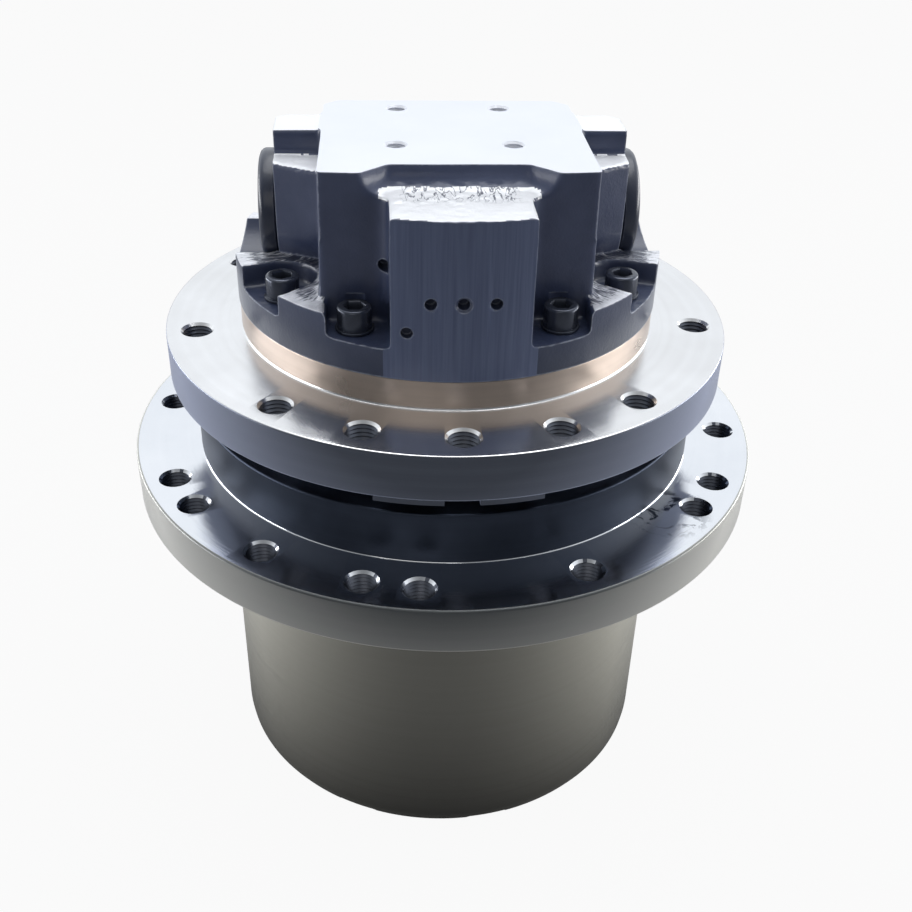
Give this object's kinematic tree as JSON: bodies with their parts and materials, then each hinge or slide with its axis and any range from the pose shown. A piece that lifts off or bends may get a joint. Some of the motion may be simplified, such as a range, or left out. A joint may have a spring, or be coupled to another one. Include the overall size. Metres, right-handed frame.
{
  "type": "excavator final drive",
  "caption": "Track drive of an excavator: hydraulic piston motor with a cast valve cover on a two-stage planetary hub, with a frame flange and a drilled sprocket flange.",
  "frame": {"origin": "on the drive's axis, at the foot of the drum on which it stands", "axes": "+Z along the drive's axis from the drum to the motor, -Y towards the front block of the motor cover"},
  "size_m": [0.324, 0.324, 0.3499],
  "materials": {
    "casting_paint": "dark blue-black satin paint on a sand casting",
    "machined_flange": "turned bright steel",
    "hub_paint": "olive grey satin coating",
    "bolt_steel": "black oxide",
    "gear_steel": "ground steel",
    "bearing_steel": "polished steel",
    "bronze": "plain bronze",
    "friction_lining": "matt lining",
    "rubber": "matt black rubber"
  },
  "bodies": {
    "spindle_side": {"spindle": "machined_flange", "motor_cover": "casting_paint", "cover_bolt_1": "bolt_steel", "cover_bolt_2": "bolt_steel", "cover_bolt_3": "bolt_steel", "cover_bolt_4": "bolt_steel", "cover_bolt_5": "bolt_steel", "cover_bolt_6": "bolt_steel", "cover_bolt_7": "bolt_steel", "cover_bolt_8": "bolt_steel", "valve_cap_left": "casting_paint", "valve_cap_right": "casting_paint", "spool_spring_left": "gear_steel", "spool_spring_right": "gear_steel", "swash_cradle": "bronze", "valve_plate": "bronze", "shaft_bearing": "bearing_steel", "shaft_tip_bearing": "bearing_steel", "shaft_seal": "rubber", "brake_plate": "gear_steel", "brake_spring": "gear_steel", "lower_bearing_inner_ring": "bearing_steel", "upper_bearing_inner_ring": "bearing_steel", "bearing_nut": "gear_steel", "upper_seal_ring": "bearing_steel", "upper_seal_rubber": "rubber", "carrier_2": "gear_steel"},
    "hub_side": {"hub": "hub_paint", "ring_gear": "gear_steel", "end_cover": "hub_paint", "retaining_ring": "gear_steel", "fill_plug": "gear_steel", "drain_plug": "gear_steel", "lower_bearing_outer_ring": "bearing_steel", "upper_bearing_outer_ring": "bearing_steel", "lower_seal_ring": "bearing_steel", "lower_seal_rubber": "rubber"},
    "first_carrier": {"carrier_1": "gear_steel", "sun_2": "gear_steel"},
    "first_planet_1": {"planet_1_1": "gear_steel"},
    "first_planet_2": {"planet_1_2": "gear_steel"},
    "first_planet_3": {"planet_1_3": "gear_steel"},
    "second_planet_1": {"planet_2_1": "gear_steel"},
    "second_planet_2": {"planet_2_2": "gear_steel"},
    "second_planet_3": {"planet_2_3": "gear_steel"},
    "rotor": {"motor_shaft": "gear_steel", "sun_1": "gear_steel", "cylinder_block": "gear_steel", "brake_disc": "friction_lining"},
    "lower_balls": {"lower_bearing_balls": "bearing_steel"},
    "upper_balls": {"upper_bearing_balls": "bearing_steel"},
    "spool": {"counterbalance_spool": "gear_steel"},
    "swash": {"swash_plate": "gear_steel"},
    "speed_piston": {"speed_piston": "gear_steel"},
    "brake_piston": {"brake_piston": "gear_steel"}
  },
  "joints": [
    {"name": "hub_spin", "type": "hinge", "parent": "spindle_side", "child": "hub_side", "pos_m": [0, 0, 0.1], "axis": [0, 0, 1], "continuous": true},
    {"name": "first_carrier_spin", "type": "hinge", "parent": "spindle_side", "child": "first_carrier", "pos_m": [0, 0, 0.06], "axis": [0, 0, 1], "continuous": true},
    {"name": "motor_spin", "type": "hinge", "parent": "spindle_side", "child": "rotor", "pos_m": [0, 0, 0.2], "axis": [0, 0, 1], "continuous": true},
    {"name": "first_planet_1_spin", "type": "hinge", "parent": "first_carrier", "child": "first_planet_1", "pos_m": [0.0585, 0, 0.04], "axis": [0, 0, 1], "continuous": true},
    {"name": "first_planet_2_spin", "type": "hinge", "parent": "first_carrier", "child": "first_planet_2", "pos_m": [-0.02925, 0.05066, 0.04], "axis": [0, 0, 1], "continuous": true},
    {"name": "first_planet_3_spin", "type": "hinge", "parent": "first_carrier", "child": "first_planet_3", "pos_m": [-0.02925, -0.05066, 0.04], "axis": [0, 0, 1], "continuous": true},
    {"name": "second_planet_1_spin", "type": "hinge", "parent": "spindle_side", "child": "second_planet_1", "pos_m": [0.063, 0, 0.08], "axis": [0, 0, 1], "continuous": true},
    {"name": "second_planet_2_spin", "type": "hinge", "parent": "spindle_side", "child": "second_planet_2", "pos_m": [-0.0315, 0.05456, 0.08], "axis": [0, 0, 1], "continuous": true},
    {"name": "second_planet_3_spin", "type": "hinge", "parent": "spindle_side", "child": "second_planet_3", "pos_m": [-0.0315, -0.05456, 0.08], "axis": [0, 0, 1], "continuous": true},
    {"name": "lower_balls_spin", "type": "hinge", "parent": "spindle_side", "child": "lower_balls", "pos_m": [0, 0, 0.135], "axis": [0, 0, 1], "continuous": true},
    {"name": "upper_balls_spin", "type": "hinge", "parent": "spindle_side", "child": "upper_balls", "pos_m": [0, 0, 0.173], "axis": [0, 0, 1], "continuous": true},
    {"name": "spool_slide", "type": "slide", "parent": "spindle_side", "child": "spool", "axis": [1, 0, 0], "range_m": [-0.005, 0.005], "stiffness_N_per_m": 2000, "deforming": ["spool_spring_left", "spool_spring_right"]},
    {"name": "swash_tilt", "type": "hinge", "parent": "spindle_side", "child": "swash", "pos_m": [0, 0, 0.176], "axis": [1, 0, 0], "range_deg": [0, 7]},
    {"name": "speed_piston_slide", "type": "slide", "parent": "spindle_side", "child": "speed_piston", "axis": [0, 0, 1], "range_m": [0, 0.0062]},
    {"name": "brake_release", "type": "slide", "parent": "spindle_side", "child": "brake_piston", "axis": [0, 0, 1], "range_m": [0, 0.0015], "stiffness_N_per_m": 20000, "springref_m": -0.002, "deforming": ["brake_spring"]}
  ],
  "couplings": [
    {"joint": "first_carrier_spin", "follows": "hub_spin", "ratio": -3.6667},
    {"joint": "motor_spin", "follows": "hub_spin", "ratio": -29.333},
    {"joint": "first_planet_1_spin", "follows": "hub_spin", "ratio": 11.407},
    {"joint": "first_planet_2_spin", "follows": "hub_spin", "ratio": 11.407},
    {"joint": "first_planet_3_spin", "follows": "hub_spin", "ratio": 11.407},
    {"joint": "second_planet_1_spin", "follows": "hub_spin", "ratio": 2.75},
    {"joint": "second_planet_2_spin", "follows": "hub_spin", "ratio": 2.75},
    {"joint": "second_planet_3_spin", "follows": "hub_spin", "ratio": 2.75},
    {"joint": "lower_balls_spin", "follows": "hub_spin", "ratio": 0.5324},
    {"joint": "upper_balls_spin", "follows": "hub_spin", "ratio": 0.5324},
    {"joint": "speed_piston_slide", "follows": "swash_tilt", "m_per_rad": 0.05}
  ]
}
